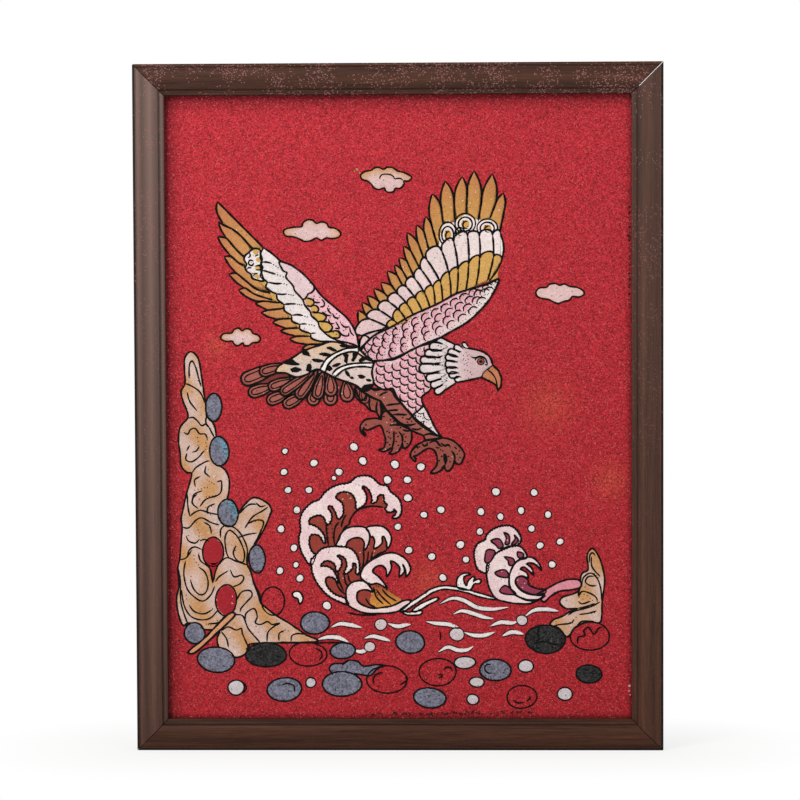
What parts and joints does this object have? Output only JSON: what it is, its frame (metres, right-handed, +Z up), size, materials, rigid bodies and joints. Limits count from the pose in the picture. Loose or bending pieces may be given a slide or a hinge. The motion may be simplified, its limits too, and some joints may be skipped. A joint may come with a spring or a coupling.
{
  "type": "gemstone wall painting",
  "caption": "Framed picture of crushed coloured stone, an eagle over waves and rocks on a red ground, with a hanger on its back.",
  "frame": {"origin": "middle of the flat in the hanger's centre notch, where a wall hook takes the weight", "axes": "+Z up, +X to the right of someone who faces the picture, front towards -Y, wall towards +Y"},
  "size_m": [0.335, 0.0188, 0.436],
  "materials": {
    "frame_wood": "dark brown satin foil over a wood moulding, fine grain along each rail",
    "board": "plain hardboard",
    "backing": "plain hardboard, matte",
    "steel": "thin plain steel",
    "red_stone": "crushed red stone, matte with a fine sparkle",
    "smooth_red_stone": "finer red stone, smooth",
    "ochre_stone": "crushed ochre stone",
    "gold_stone": "crushed golden stone",
    "white_stone": "crushed white stone",
    "pink_stone": "crushed pink stone",
    "cream_stone": "crushed cream stone",
    "brown_stone": "crushed brown stone",
    "beak_stone": "crushed orange brown stone",
    "foam_stone": "crushed pink white stone",
    "grey_stone": "crushed blue grey stone",
    "black_stone": "crushed black stone"
  },
  "bodies": {
    "root": {"frame_rail_top": "frame_wood", "frame_rail_right": "frame_wood", "frame_rail_bottom": "frame_wood", "frame_rail_left": "frame_wood", "picture_board": "board", "backing_board": "backing", "red_stone_ground": "red_stone", "back_tab_top_1": "steel", "back_tab_top_2": "steel", "back_tab_right_1": "steel", "back_tab_right_2": "steel", "back_tab_bottom_1": "steel", "back_tab_bottom_2": "steel", "back_tab_left_1": "steel", "back_tab_left_2": "steel", "hanger_strip": "steel", "hanger_nail_1": "steel", "hanger_nail_2": "steel", "grey_pebble_1": "grey_stone", "grey_pebble_2": "grey_stone", "grey_pebble_3": "grey_stone", "grey_pebble_4": "grey_stone", "grey_pebble_5": "grey_stone", "grey_pebble_6": "grey_stone", "grey_pebble_7": "grey_stone", "grey_pebble_8": "grey_stone", "grey_pebble_9": "grey_stone", "grey_pebble_10": "grey_stone", "grey_pebble_11": "grey_stone", "grey_pebble_12": "grey_stone", "grey_pebble_13": "grey_stone", "black_pebble_1": "black_stone", "black_pebble_2": "black_stone", "black_pebble_3": "black_stone", "red_pebble_1": "smooth_red_stone", "red_pebble_2": "smooth_red_stone", "near_wing_scales": "pink_stone", "near_wing_gold_row": "gold_stone", "near_wing_white_row": "white_stone", "near_wing_feathers": "ochre_stone", "head": "pink_stone", "beak": "beak_stone", "body": "pink_stone", "far_wing_coverts": "white_stone", "far_wing_feathers": "ochre_stone", "rump": "cream_stone", "tail_feathers": "brown_stone", "near_leg": "brown_stone", "far_leg": "brown_stone", "left_rocks": "cream_stone", "right_rocks": "cream_stone", "big_wave": "foam_stone", "small_wave": "foam_stone", "cloud_1": "foam_stone", "cloud_2": "foam_stone", "cloud_3": "foam_stone", "cloud_4": "foam_stone"}
  },
  "joints": []
}
